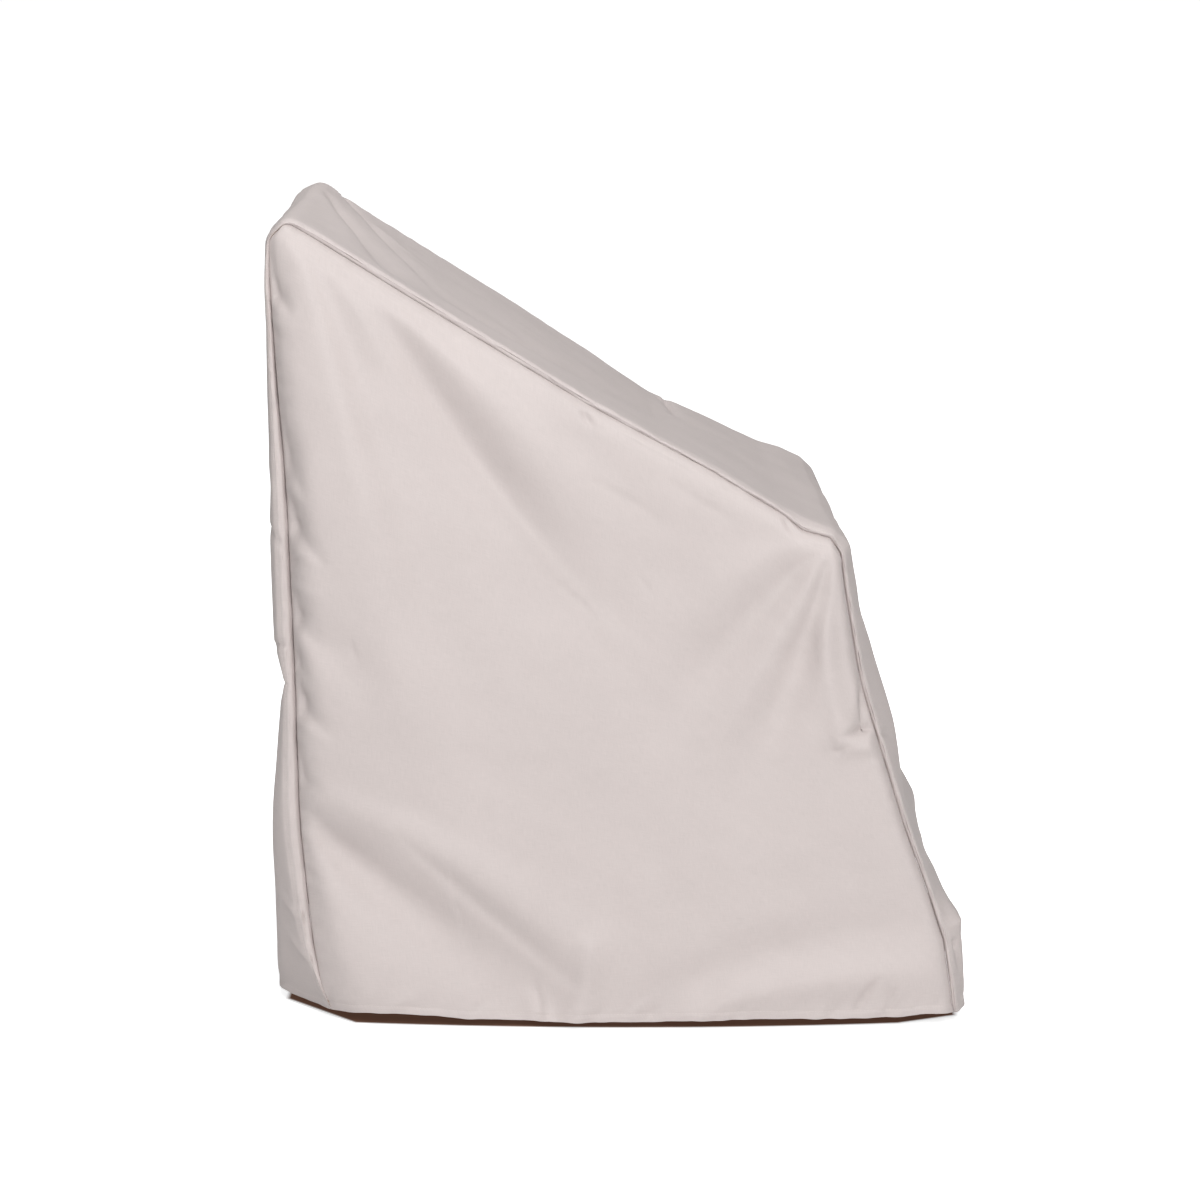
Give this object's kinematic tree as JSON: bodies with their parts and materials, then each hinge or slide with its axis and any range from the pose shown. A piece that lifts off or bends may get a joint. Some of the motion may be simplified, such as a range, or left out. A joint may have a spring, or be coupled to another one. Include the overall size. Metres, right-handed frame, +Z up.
{
  "type": "dining chair cover",
  "caption": "Fitted cloth cover for an outdoor dining chair with arms, high at the back and sloping to the arm fronts, open underneath.",
  "frame": {"origin": "middle of the footprint, level with the lowest point of the hem", "axes": "+Z up, the chair's front faces -Y and its back +Y, -X is the left when seen from the front"},
  "size_m": [0.7213, 0.7672, 0.8622],
  "materials": {
    "cover_cloth": "beige coated polyester in a fine plain weave, matte with a faint sheen, tone-on-tone topstitching"
  },
  "bodies": {
    "root": {"side_panel_left": "cover_cloth", "side_panel_right": "cover_cloth", "centre_strip": "cover_cloth"}
  },
  "joints": []
}
